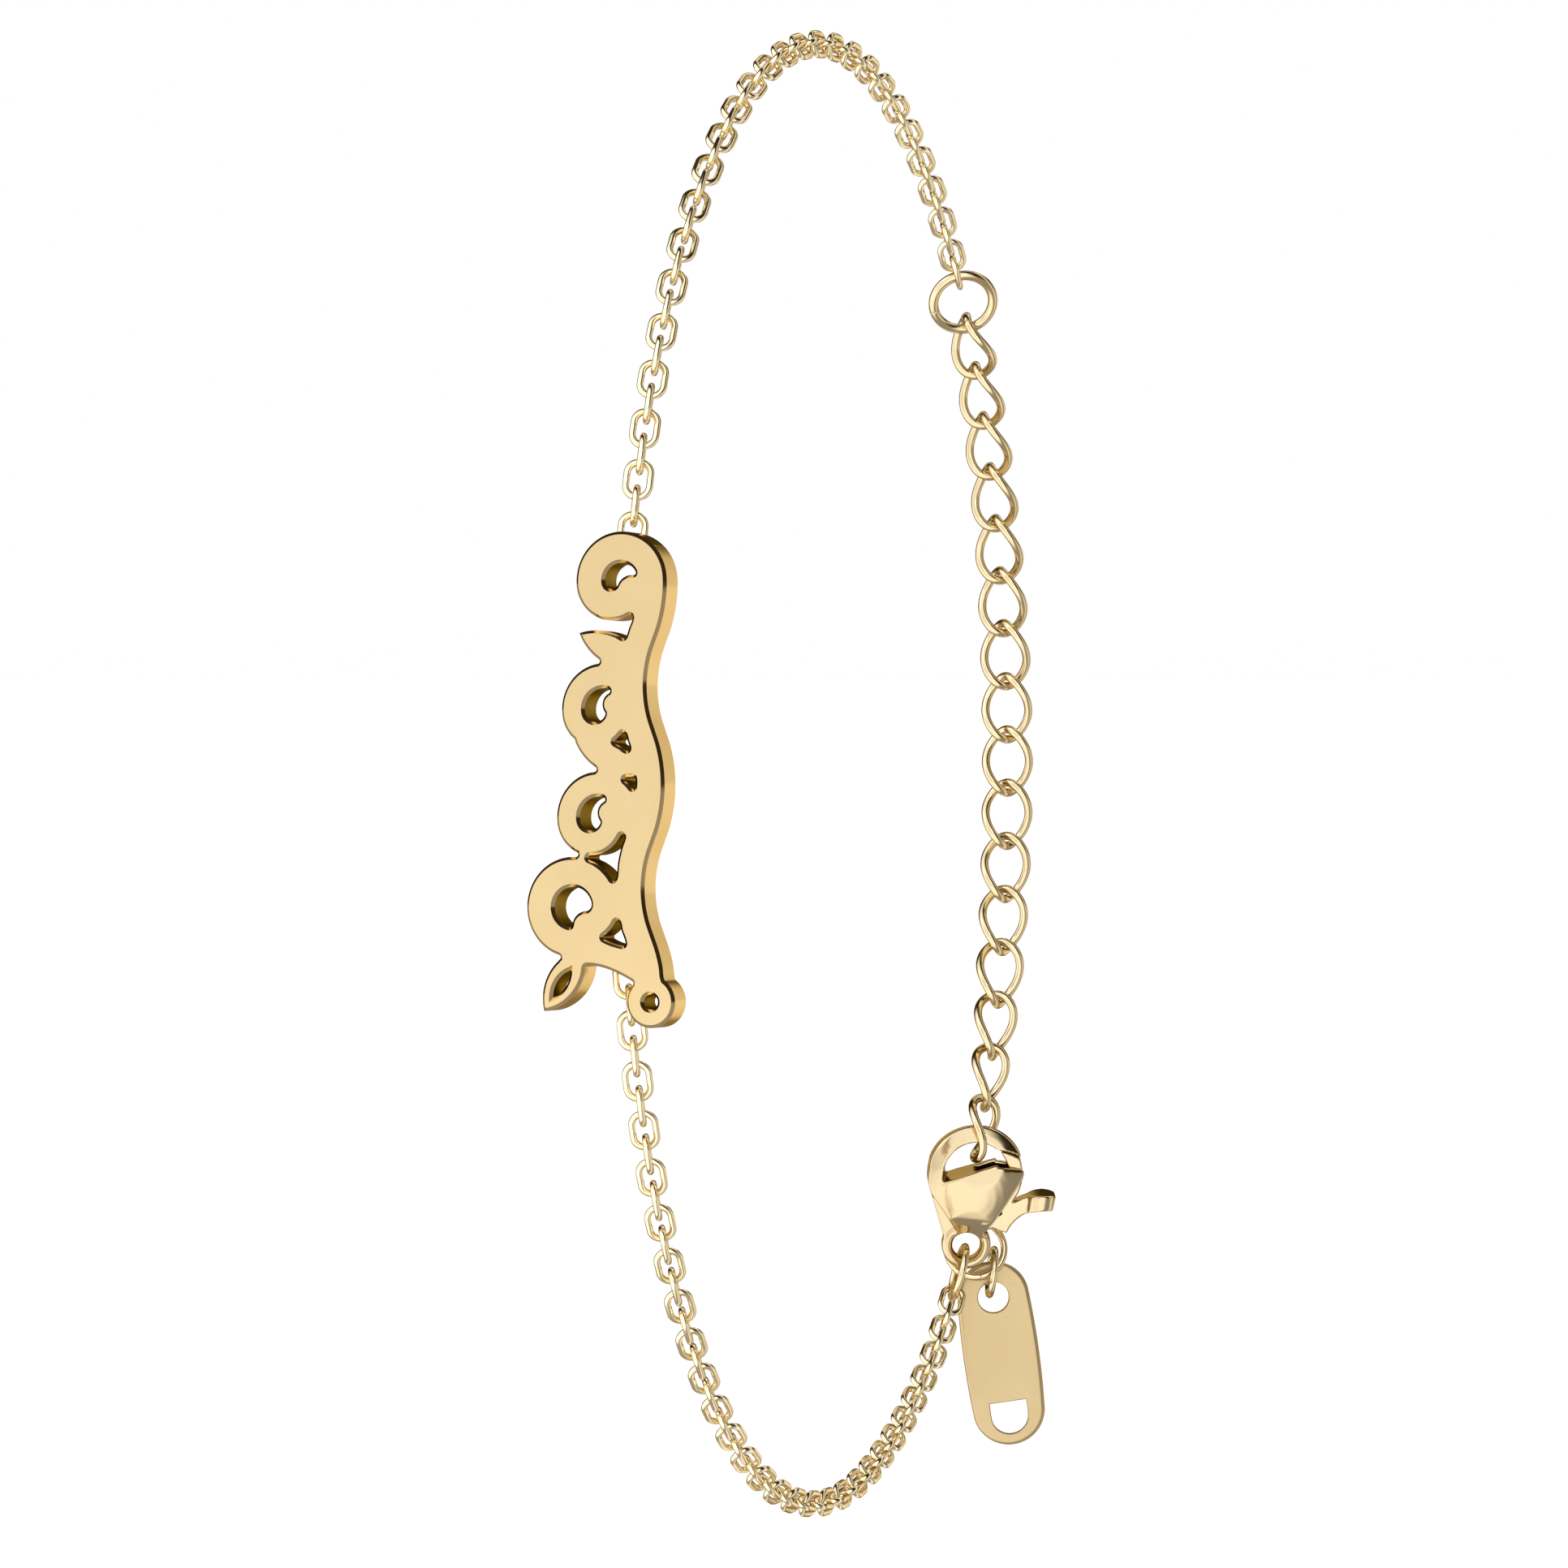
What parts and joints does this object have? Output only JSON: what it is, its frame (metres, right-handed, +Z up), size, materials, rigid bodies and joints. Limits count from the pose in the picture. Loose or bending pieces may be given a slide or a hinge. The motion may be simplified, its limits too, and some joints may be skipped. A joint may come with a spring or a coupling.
{
  "type": "nameplate bracelet",
  "caption": "Fastened chain bracelet with an openwork scroll plate, fine cable chain, curb-link extender, lobster clasp and an oblong end tag.",
  "frame": {"origin": "centre of the loop, where the middle of the wrist goes", "axes": "+Z up as the bracelet is shown; the wrist passes through along X; the plate is on the -Y side and the extender and clasp on the +Y side"},
  "size_m": [0.0084, 0.0584, 0.078],
  "materials": {
    "plate": "polished pale gold plating",
    "chain": "polished gold plating",
    "ring": "polished gold plating",
    "extender": "polished gold plating",
    "clasp": "polished pale gold plating",
    "tag": "satin pale gold plating"
  },
  "bodies": {
    "bracelet": {"nameplate": "plate", "upper_chain": "chain", "jump_ring": "ring", "extender_link_1": "extender", "extender_link_2": "extender", "extender_link_3": "extender", "extender_link_4": "extender", "extender_link_5": "extender", "extender_link_6": "extender", "extender_link_7": "extender", "extender_link_8": "extender", "extender_link_9": "extender", "extender_link_10": "extender", "extender_link_11": "extender", "extender_link_12": "extender", "extender_link_13": "extender", "extender_link_14": "extender", "extender_link_15": "extender", "extender_link_16": "extender", "clasp_body": "clasp", "chain_ring": "ring", "lower_chain": "chain", "tag_link_ring": "ring", "tag_ring": "ring", "tag": "tag"},
    "clasp_lever": {"clasp_lever": "clasp"}
  },
  "joints": [
    {"name": "clasp_lever_hinge", "type": "hinge", "parent": "bracelet", "child": "clasp_lever", "pos_m": [0.00001, 0.02416, -0.02542], "axis": [0.3978, -0.9011, -0.1725], "range_deg": [0, 12], "stiffness_Nm_per_rad": 0.003, "springref_deg": -11.46}
  ]
}
